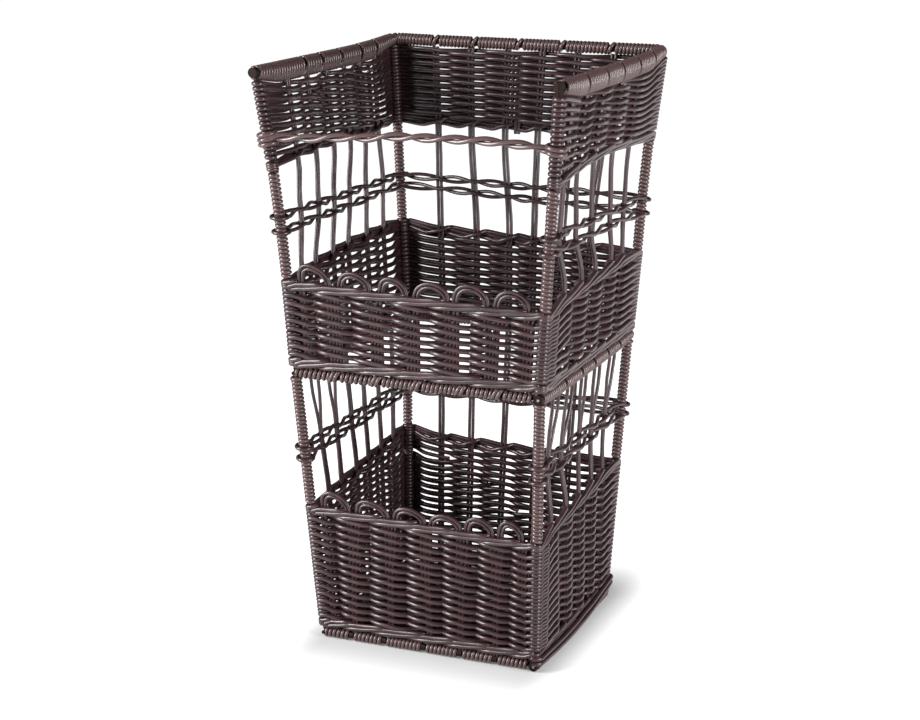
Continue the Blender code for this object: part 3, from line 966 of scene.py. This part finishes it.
def rail_span(level, side, sizes, length):
    """Return where a rail's winding starts and ends along its line."""
    flank = sizes.bound_out + sizes.bound + 0.0003
    if side == "front":
        return -0.0015, length - flank
    if level == "top":
        starts = {"back": 0.001, "right": 0.0075, "left": -0.0005}
        return starts[side], length - 0.001
    if side == "back":
        return flank, length - flank
    return (flank if side == "left" else -0.0005), length + 0.0035


def swell_part(level, place, length):
    """Return how much of its swell a side rail has at a distance from its front end."""
    if level == "top":
        return smooth((length - place) / 0.07) * (0.25 + 0.75 * smooth(place / 0.06))
    return smooth((length - place) / 0.05) * (0.6 + 0.4 * smooth(place / 0.05))


def rail_windings(level, side, sizes):
    """Return the runs of a rail's winding, with the stakes' turns where it parts, and the bare lengths, laid
    as thick dark collars: partly bare rod, partly painted shade in the winding's gaps.
    """
    radius = sizes.bound_out + (0.0009 if level == "top" else 0.0)
    line = rail_line(level, side, sizes)
    low, high = rail_span(level, side, sizes, line.length)

    def swell(place):
        part = 0.0 if side in ("front", "back") else swell_part(level, place, line.length)
        return SIDE_SWELL[level][0] * part, SIDE_SWELL[level][1] * part

    breaks = []
    runs = []
    bare = []
    kind = "base" if level == "base" else "side" if side in ("left", "right") else side
    half = sizes.strand * BREAK_HALF[kind]
    for share in RAIL_BREAKS[f"{level}_{side}"]:
        place = share * line.length
        middle, along = line.read(place)
        if kind == "front":
            for step in (-0.5, 0.5):
                off = along * (step * sizes.strand * 1.1) + Vector((0, 0, 0.0008))
                runs.append(ring(middle + off, along, radius + 0.0014, 0.0032))
        elif kind == "back":
            runs.append(ring(middle, along, radius + 0.0002, 0.003))
        breaks.append((place, half))
        # Bare length at the break, laid as a dark collar: partly bare rod, partly painted shade in the gap
        bare.append(([line.read(place - half)[0], line.read(place + half)[0]], False))
    turn = sizes.rail_turn * LOOSE.get(f"{level}_{side}", 1.0)
    return runs + winding(line, radius, turn, low, high, breaks, swell), bare


class BASKET_OT_finish_rods(bpy.types.Operator):
    """Give the rods of the frame their stained finish"""

    bl_idname = "basket.finish_rods"
    bl_label = "Finish Rods"

    def execute(self, context):
        for name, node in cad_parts.items():
            if name.endswith("_rod"):
                node.data.materials.clear()
                node.data.materials.append(finish_for(ROD_LOOK))
                node.data.shade_smooth()
                node.data.set_sharp_from_angle(angle=math.radians(40))
        return {"FINISHED"}


def rod_ends():
    """Return the bare ends of the side rods, which stand past their windings."""
    bare_length = Vector((0, 0.006, 0))
    runs = []
    for level, side_x in (("base", 1), ("middle", 1), ("top", -1)):
        half_width, half_depth, height = LEVELS[level]
        front = Vector((side_x * half_width, -half_depth - 0.0058, height))
        runs.append(([front, front + bare_length], False))
    for level in ("base", "middle"):
        half_width, half_depth, height = LEVELS[level]
        for side_x in (-1, 1):
            back = Vector((side_x * half_width, half_depth + 0.0066, height))
            runs.append(([back - bare_length, back], False))
    return runs


def post_head():
    """Return the splinters of the right front post's bare head."""
    middle = post_point("upper", "front_right", tier_height("upper"))
    runs = []
    for number in range(7):
        foot = middle + turned(51 * number, 0.0031 if number else 0.0) - Vector((0, 0, 0.0125))
        rise = 0.0125 + 0.0052 + wander(number * 3 + 1, 0.3, 0.003)
        runs.append(([foot, foot + Vector((0, 0, rise))], False))
    return runs


class BASKET_OT_wind_rails(bpy.types.Operator):
    """Wind the strand round the eleven rails"""

    bl_idname = "basket.wind_rails"
    bl_label = "Wind Rails"

    def execute(self, context):
        sizes = context.scene.basket_sizes
        collars = []
        for rail in RAIL_BREAKS:
            level, side = rail.split("_")
            name = f"{rail}_rail"
            runs, bare = rail_windings(level, side, sizes)
            lay_strands(f"{name}_winding", runs, sizes.bound, "bound_strand", [f"{name}_wrap"])
            collars.extend(bare)
            if level == "top":
                bent = [(rail_line(level, side, sizes).points, False)]
                lay_strands(f"{name}_bent_rod", bent, sizes.top_rod, ROD_LOOK, [f"{name}_rod"])
        # Dark collars over the breaks: partly bare rod, partly painted shade in the windings' gaps
        lay_strands("rail_gap_shade_collars", collars, sizes.collar, ROD_LOOK)
        lay_strands("side_rod_ends", rod_ends(), sizes.rod_end, ROD_LOOK, resolution=6)
        lay_strands("front_right_post_head", post_head(), 0.0036, ROD_LOOK)
        return {"FINISHED"}


class BASKET_OT_wind_posts(bpy.types.Operator):
    """Wind the strand round the posts where they stand free of the weaving"""

    bl_idname = "basket.wind_posts"
    bl_label = "Wind Posts"

    def execute(self, context):
        sizes = context.scene.basket_sizes
        steps = 24
        for tier in TIERS:
            tall = tier_height(tier)
            for corner in CORNERS:
                low = CORNER_EDGE[tier][corner] + sizes.strand * 0.55
                high = tall - hug(sizes, 1) - 0.001
                if tier == "upper":
                    foot = CROWN_FOOT["right" if corner.endswith("right") else "left"]
                    high = foot[0] if corner in ("front_right", "back_left") else foot[-1]
                line = Line([post_point(tier, corner, tall * step / steps) for step in range(steps + 1)])
                scale = line.length / tall
                runs = winding(line, sizes.bound_out, sizes.post_turn, low * scale, high * scale)
                if tier == "lower":
                    point, way = line.read(high * scale + 0.0006)
                    runs.append(ring(point, way, sizes.bound_out + 0.0009))
                name = f"{tier}_{corner}_post"
                if (tier, corner) in BOW:
                    bent = [(line.points, False)]
                    lay_strands(f"{name}_bent_rod", bent, sizes.rod, ROD_LOOK, [f"{name}_rod"])
                lay_strands(f"{name}_winding", runs, sizes.bound, "bound_strand", [f"{name}_wrap"])
        return {"FINISHED"}


class BASKET_OT_weave_walls(bpy.types.Operator):
    """Weave the rows of the two lower bands and of the crown"""

    bl_idname = "basket.weave_walls"
    bl_label = "Weave Walls"

    def execute(self, context):
        sizes = context.scene.basket_sizes
        for kind in PLAIN_ROWS:
            name = "crown_rows" if kind == "crown" else f"{kind}_wall_rows"
            nodes = [f"{kind}_wall_{side}" for side in (CLOSED_SIDES if kind == "crown" else WALLS)]
            lay_strands(name, weave(kind, sizes), sizes.row_strand * ROW_FULLNESS[kind], "row_strand", nodes)
        return {"FINISHED"}


def side_stakes(tier, side, sizes):
    """Return the runs of the paired stakes of a closed side."""
    top = tier_height(tier) - hug(sizes, 0.2)
    steps = 30
    heights = [STAKE_FOOT + (top - STAKE_FOOT) * step / steps for step in range(steps + 1)]
    spread = SPLAY.get(side, ()) if tier == "lower" else ()
    if side in MEASURED_FROM_LAST:
        spread = tuple(reversed(spread))
    runs = []
    for number in range(len(STAKES[(tier, side)][0][1])):
        for half in (-0.5, 0.5):
            points = []
            for height in heights:
                gap = sizes.pair_gap / wall_length(tier, side, height)
                if spread:
                    gap += max(0.0, spread[number] - gap) * smooth((height - SPLAY_FOOT) / SPLAY_RISE)
                place = stake_shares(tier, side, height)[number] + half * gap
                place += wander(number * 5 + half * 3, height * 9, 0.0012)
                off = wander(number * 3 + half, height * 12, 0.0006)
                points.append(wall_point(tier, side, place, height, off))
            runs.append((points, False))
    return runs


def pushed_in_strands():
    """Return the runs of the strands that were pushed in beside a stake of the upper back."""
    top = tier_height("upper") - 0.006
    runs = []
    for share, low in PUSHED_IN:
        points = []
        for height in [low + (top - low) * step / 8 for step in range(9)]:
            place = 1 - share + wander(share * 50, height * 20, 0.0015)
            points.append(wall_point("upper", "back", place, height))
        runs.append((points, False))
    return runs


def twined_rows(tier, sizes):
    """Return the runs of the two pairs of strands that twist round the stakes of the open screens."""
    around = hug(sizes, 1.5)
    steps = 8
    runs = []
    for row, corners in enumerate(TWINED[tier]):
        places = [0.0]
        for number, side in enumerate(CLOSED_SIDES):
            middle = (corners[number] + corners[number + 1]) / 2
            places += [number + share for share in stake_shares(tier, side, middle)] + [number + 1.0]
        for strand in (0, 1):
            points = []
            for index, (low, high) in enumerate(zip(places, places[1:])):
                way = 1 if (index + strand + row) % 2 else -1
                for step in range(steps + 1 if high == places[-1] else steps):
                    place = low + (high - low) * step / steps
                    number = min(int(place), 2)
                    share = place - number
                    flat = math.pi * clamp((step / steps - 0.04) / 0.92)
                    off = way * sizes.strand * 0.86 * math.cos(flat)
                    near_post = max(0.0, 1 - min(share, 1 - share) / TWINE_POST)
                    off *= 1 + near_post * 1.3
                    if place < TWINE_POST or place > len(CLOSED_SIDES) - TWINE_POST:
                        off = off * (1 - near_post) + around * near_post
                    height = corners[number] + (corners[number + 1] - corners[number]) * share
                    height += sizes.strand * 0.66 * math.sin(flat) * (1 if strand else -1)
                    height += wander(row * 9 + 3, place, 0.0014)
                    points.append(wall_point(tier, CLOSED_SIDES[number], share, height, off))
            runs.append((points, False))
        for number, corner in enumerate(TWINED_CORNERS):
            middle = post_point(tier, corner, corners[number])
            runs.append(ring(middle, post_way(tier, corner), around, 0.001 * (-1) ** number))
    return runs


class BASKET_OT_set_stakes(bpy.types.Operator):
    """Set the paired stakes of the closed sides, with the twined rows that hold them"""

    bl_idname = "basket.set_stakes"
    bl_label = "Set Stakes"

    def execute(self, context):
        sizes = context.scene.basket_sizes
        for tier in TIERS:
            for side in CLOSED_SIDES:
                runs = side_stakes(tier, side, sizes)
                if (tier, side) == ("upper", "back"):
                    runs += pushed_in_strands()
                nodes = [f"{tier}_screen_{side}"]
                lay_strands(f"{tier}_{side}_stakes", runs, sizes.stake_strand, "stake_strand", nodes)
            lay_strands(f"{tier}_twined_rows", twined_rows(tier, sizes), sizes.strand, "row_strand")
        return {"FINISHED"}


def front_stakes(tier, sizes):
    """Return the runs of the front wall's stakes, which arch over as scallops and run down again."""
    gap = sizes.group_gap

    def beside(number, height, gaps):
        """Return the share of the wall that lies some gaps beside a stake."""
        return stake_shares(tier, "front", height)[number] + gaps * gap / wall_length(tier, "front", height)

    def rising(number, top, shift):
        """Return the points of a strand that rises beside a stake, shifted by gaps at each height."""
        points = []
        for height in [STAKE_FOOT + top * step / 11 for step in range(12)]:
            points.append(wall_point(tier, "front", beside(number, height, shift(height)), height))
        return points

    runs = []
    for number, (left, peak, right, rise) in enumerate(SCALLOPS[tier]):
        lean = math.log((peak - left) / (right - left)) / math.log(0.5)
        for inner in (0, 1):

            def shift(height, number=number, inner=inner):
                if not number:
                    return inner - 0.3
                return inner + 0.5 - (1 - smooth((height - 0.08) / 0.06) if tier == "lower" else 0.0)

            points = rising(number, edge_height(tier, "front", left) - SCALLOP_SEAT, shift)
            own_gap = inner * gap / wall_length(tier, "front", 0.1)
            start = left + own_gap
            end = right - own_gap
            tall = rise - inner * gap * 1.02 + 0.002
            for turn in [math.pi * step / 16 for step in range(17)]:
                share = start + (end - start) * ((1 - math.cos(turn)) / 2) ** lean
                height = edge_height(tier, "front", share) - 0.002 + tall * math.sin(turn) ** 0.85
                points.append(wall_point(tier, "front", share, height, -0.0012 * math.sin(turn)))
            top = edge_height(tier, "front", right) - SCALLOP_SEAT
            for part in [step / 10 for step in range(1, 11)]:
                height = top - (top - SCALLOP_END[tier]) * part
                target = beside(number + 1, height, -0.5 - inner)
                points.append(wall_point(tier, "front", end + (target - end) * smooth(part * 2.2), height))
            runs.append((points, False))
    last = len(SCALLOPS[tier])
    runs.append((rising(last, edge_height(tier, "front", 0.95) - 0.002, lambda height: 0.5), False))
    return runs


class BASKET_OT_bend_scallops(bpy.types.Operator):
    """Set the stakes of the two front walls and bend their ends over as scallops"""

    bl_idname = "basket.bend_scallops"
    bl_label = "Bend Scallops"

    def execute(self, context):
        sizes = context.scene.basket_sizes
        for tier in TIERS:
            name = f"{tier}_front_scallops"
            nodes = [f"{tier}_scalloped_border"]
            lay_strands(name, front_stakes(tier, sizes), sizes.stake_strand, "stake_strand", nodes, 3)
        return {"FINISHED"}


class BASKET_OT_twist_bar(bpy.types.Operator):
    """Twist the two strands of the bar across the open front and tie them to the posts"""

    bl_idname = "basket.twist_bar"
    bl_label = "Twist Bar"

    def execute(self, context):
        sizes = context.scene.basket_sizes
        strand = sizes.bar_strand
        around = hug(sizes, 1) + strand * 0.5
        turns = wall_length("upper", "front", 0.26) / sizes.bar_twist
        steps = 110
        runs = []
        for half in (0, 1):
            points = []
            for share in [step / steps for step in range(steps + 1)]:
                angle = 2 * math.pi * share * turns + math.pi * half
                tight = smooth(share / 0.06) * smooth((1 - share) / 0.04)
                out = around * 0.55 * (1 - smooth(share / 0.08)) + strand * 0.54 * math.cos(angle)
                height = read_knots(BAR_LINE, share) + strand * 0.54 * math.sin(angle) * max(tight, 0.4)
                points.append(wall_point("upper", "front", share, height, out))
            runs.append((points, False))
        for corner, height, below, count, tilt in BAR_TIES:
            for number in range(count):
                middle = post_point("upper", corner, height + (number * 1.02 - below) * strand)
                runs.append(ring(middle, post_way("upper", corner), around, tilt))
        lay_strands("front_bar_twist", runs, strand, "bound_strand", ["twisted_front_bar"], 3)
        return {"FINISHED"}


def mat_runs(sizes):
    """Return the runs of the floor: paired stakes from front to back, and the rows across them."""
    half_width, half_depth, height = LEVELS["base"]
    inset = hug(sizes, 1) + 0.002
    wide = half_width - inset
    deep = half_depth - inset
    columns = 9
    places = [-wide + 2 * wide * (number + 0.5) / columns for number in range(columns)]
    runs = []
    for number, x in enumerate(places):
        for half in (-0.5, 0.5):
            points = []
            for y in [-deep + 2 * deep * step / 8 for step in range(9)]:
                off = half * sizes.pair_gap + wander(number + half, y * 9, 0.001)
                points.append(Vector((x + off, y, height)))
            runs.append((points, False))
    count = int(2 * deep / sizes.mat_row)
    for row in range(count):
        y = -deep + sizes.strand / 2 + (2 * deep - sizes.strand) * row / (count - 1)
        knots = [(-wide, 0.0)]
        for number, x in enumerate(places):
            off = sizes.reach * (1 if (row + number) % 2 else -1)
            knots.extend(((x - 0.0037, off), (x + 0.0037, off)))
        knots.append((wide, 0.0))
        points = []
        for low, high in zip(knots, knots[1:]):
            steps = 1 if low[1] == high[1] else 4
            for part in [step / steps for step in range(steps)]:
                x = low[0] + (high[0] - low[0]) * part
                z = height + low[1] + (high[1] - low[1]) * smooth(part)
                points.append(Vector((x, y + wander(row, x * 10, 0.0006), z)))
        points.append(Vector((wide, y, height)))
        runs.append((points, False))
    return runs


class BASKET_OT_weave_floor(bpy.types.Operator):
    """Weave the floor mat between the base rails"""

    bl_idname = "basket.weave_floor"
    bl_label = "Weave Floor"

    def execute(self, context):
        sizes = context.scene.basket_sizes
        lay_strands("floor_mat", mat_runs(sizes), sizes.strand, "row_strand", ["base_floor"])
        return {"FINISHED"}


class BASKET_OT_drive_nails(bpy.types.Operator):
    """Drive the nails into the bare ends of the side rods"""

    bl_idname = "basket.drive_nails"
    bl_label = "Drive Nails"

    def execute(self, context):
        body = bmesh.new()
        for level in ("base", "middle"):
            half_width, half_depth, height = LEVELS[level]
            seat = Vector((half_width + 0.0004, -half_depth - 0.0061, height + 0.0003))
            place = Matrix.Translation(seat) @ Matrix.Rotation(math.pi / 2, 4, "X")
            bmesh.ops.create_cone(
                body, cap_ends=True, segments=14, radius1=0.0018, radius2=0.0014, depth=0.0010, matrix=place
            )
        mesh = bpy.data.meshes.new("rail_nails")
        body.to_mesh(mesh)
        body.free()
        link_piece("rail_nails", mesh, nail_material(), [])
        return {"FINISHED"}


def seen_rays(tree):
    """Return the socket that is 1 where the camera, a reflection or clear matter sees the surroundings."""
    path = add_node(tree, "LightPath")
    total = path["Is Camera Ray"]
    for kind in ("Is Glossy Ray", "Is Transmission Ray"):
        total = add_node(tree, "Math", {0: total, 1: path[kind]}, operation="MAXIMUM")["Value"]
    return total


def fade(tree, value, low, high, start, end):
    """Return a value that eases from start to end as another goes from low to high."""
    values = {"Value": value, "From Min": low, "From Max": high, "To Min": start, "To Max": end}
    return add_node(tree, "MapRange", values, interpolation_type="SMOOTHSTEP")["Result"]


def floor_material(colours):
    """Make the floor's white, whose glow is turned down near the basket's foot: painted shade there, in which
    the lamps' shadows also show.
    """
    material, tree, shader = new_material("stage_white")
    feed(tree, shader, {"Base Color": (*colours.floor, 1), "Roughness": 0.9, "Specular IOR Level": 0.0})
    past = add_node(tree, "TexCoord")["Object"]
    past = add_node(tree, "VectorMath", {0: past}, operation="ABSOLUTE")["Vector"]
    steps = (("SUBTRACT", PAINTED_SHADE_FOOT), ("MAXIMUM", (0.0, 0.0, 0.0)), ("MULTIPLY", PAINTED_SHADE_STRETCH))
    for operation, value in steps:
        past = add_node(tree, "VectorMath", {0: past, 1: value}, operation=operation)["Vector"]
    distance = add_node(tree, "VectorMath", {0: past}, operation="LENGTH")["Value"]
    # Painted shade: the glow falls to its lowest strength at the basket's foot and rises again outwards
    strength = fade(tree, distance, 0.0, PAINTED_SHADE_WIDTH, PAINTED_SHADE_GLOW, 1.0)
    glow = add_node(tree, "Emission", {"Strength": strength})["Emission"]
    plain = tree.nodes["Principled BSDF"].outputs["BSDF"]
    lit = add_node(tree, "AddShader", {0: plain, 1: glow})["Shader"]
    shown = add_node(tree, "MixShader", {"Fac": seen_rays(tree), 1: plain, 2: lit})["Shader"]
    feed(tree, tree.nodes["Material Output"].inputs, {"Surface": shown})
    return material


class BASKET_OT_set_stage(bpy.types.Operator):
    """Set the pale floor, the soft lamps, the white surroundings and the camera"""

    bl_idname = "basket.set_stage"
    bl_label = "Set Stage"

    def execute(self, context):
        body = bmesh.new()
        bmesh.ops.create_grid(body, x_segments=2, y_segments=2, size=14.0)
        mesh = bpy.data.meshes.new("stage_floor")
        body.to_mesh(mesh)
        body.free()
        mesh.materials.append(floor_material(context.scene.basket_colours))
        floor = bpy.data.objects.new("stage_floor", mesh)
        context.scene.collection.objects.link(floor)
        self.light_surroundings(context)
        self.hang_lamps(context)
        self.place_camera(context)
        context.scene.view_settings.view_transform = "Standard"
        return {"FINISHED"}

    def light_surroundings(self, context):
        """Make the surroundings white up to a dark ceiling, and let the lamps give the light."""
        world = bpy.data.worlds.new("basket_surroundings")
        context.scene.world = world
        world.use_nodes = True
        tree = world.node_tree
        tree.nodes.clear()
        way = add_node(tree, "TexCoord")["Generated"]
        up = add_node(tree, "SeparateXYZ", {"Vector": way})["Z"]
        white = (1.0, 1.0, 1.0, 1)
        values = {"Color": white, "Strength": fade(tree, up, 0.0, 0.20, 1.0, 0.04)}
        seen = add_node(tree, "Background", values)["Background"]
        soft = add_node(tree, "Background", {"Color": white, "Strength": 0.02})["Background"]
        mixed = add_node(tree, "MixShader", {"Fac": seen_rays(tree), 1: soft, 2: seen})["Shader"]
        add_node(tree, "OutputWorld", {"Surface": mixed})

    def hang_lamps(self, context):
        """Hang the soft lamps round the basket."""
        for name, (place, width, length, power) in LAMPS.items():
            data = bpy.data.lights.new(name, "AREA")
            data.shape = "RECTANGLE"
            data.size = width
            data.size_y = length
            data.energy = power
            lamp = bpy.data.objects.new(name, data)
            context.scene.collection.objects.link(lamp)
            lamp.location = place
            lamp.rotation_euler = (LAMP_AIM - Vector(place)).to_track_quat("-Z", "Y").to_euler()

    def place_camera(self, context):
        """Place the camera where the photograph was taken from."""
        data = bpy.data.cameras.new("photo_camera")
        data.sensor_width = 36.0
        data.lens = CAMERA_LENS
        camera = bpy.data.objects.new("photo_camera", data)
        context.scene.collection.objects.link(camera)
        camera.location = CAMERA_PLACE
        camera.rotation_euler = (math.radians(90 - CAMERA_DROP), 0.0, math.radians(CAMERA_TURN))
        context.scene.camera = camera


class BASKET_PT_steps(bpy.types.Panel):
    """Steps of the basket, in order"""

    bl_label = "Tall Bread Basket"
    bl_idname = "BASKET_PT_steps"
    bl_space_type = "VIEW_3D"
    bl_region_type = "UI"
    bl_category = "Basket"

    def draw(self, context):
        layout = self.layout
        sizes = layout.box()
        for name in BasketSizes.__annotations__:
            sizes.prop(context.scene.basket_sizes, name)
        colours = layout.box()
        for name in BasketColours.__annotations__:
            colours.prop(context.scene.basket_colours, name)
        for step in STEPS:
            layout.operator(step.bl_idname)


STEPS = (
    BASKET_OT_finish_rods,
    BASKET_OT_wind_rails,
    BASKET_OT_wind_posts,
    BASKET_OT_weave_walls,
    BASKET_OT_set_stakes,
    BASKET_OT_bend_scallops,
    BASKET_OT_twist_bar,
    BASKET_OT_weave_floor,
    BASKET_OT_drive_nails,
    BASKET_OT_set_stage,
)
CLASSES = (BasketSizes, BasketColours, *STEPS, BASKET_PT_steps)


def register():
    """Register the basket's classes and its properties."""
    for item in CLASSES:
        bpy.utils.register_class(item)
    bpy.types.Scene.basket_sizes = bpy.props.PointerProperty(type=BasketSizes)
    bpy.types.Scene.basket_colours = bpy.props.PointerProperty(type=BasketColours)


def unregister():
    """Remove the basket's properties and classes."""
    del bpy.types.Scene.basket_colours
    del bpy.types.Scene.basket_sizes
    for item in reversed(CLASSES):
        bpy.utils.unregister_class(item)


def main():
    """Build the basket step by step."""
    register()
    bpy.ops.basket.finish_rods()
    bpy.ops.basket.wind_rails()
    bpy.ops.basket.wind_posts()
    bpy.ops.basket.weave_walls()
    bpy.ops.basket.set_stakes()
    bpy.ops.basket.bend_scallops()
    bpy.ops.basket.twist_bar()
    bpy.ops.basket.weave_floor()
    bpy.ops.basket.drive_nails()
    bpy.ops.basket.set_stage()
    bpy.context.view_layer.update()


if __name__ == "__main__":
    main()
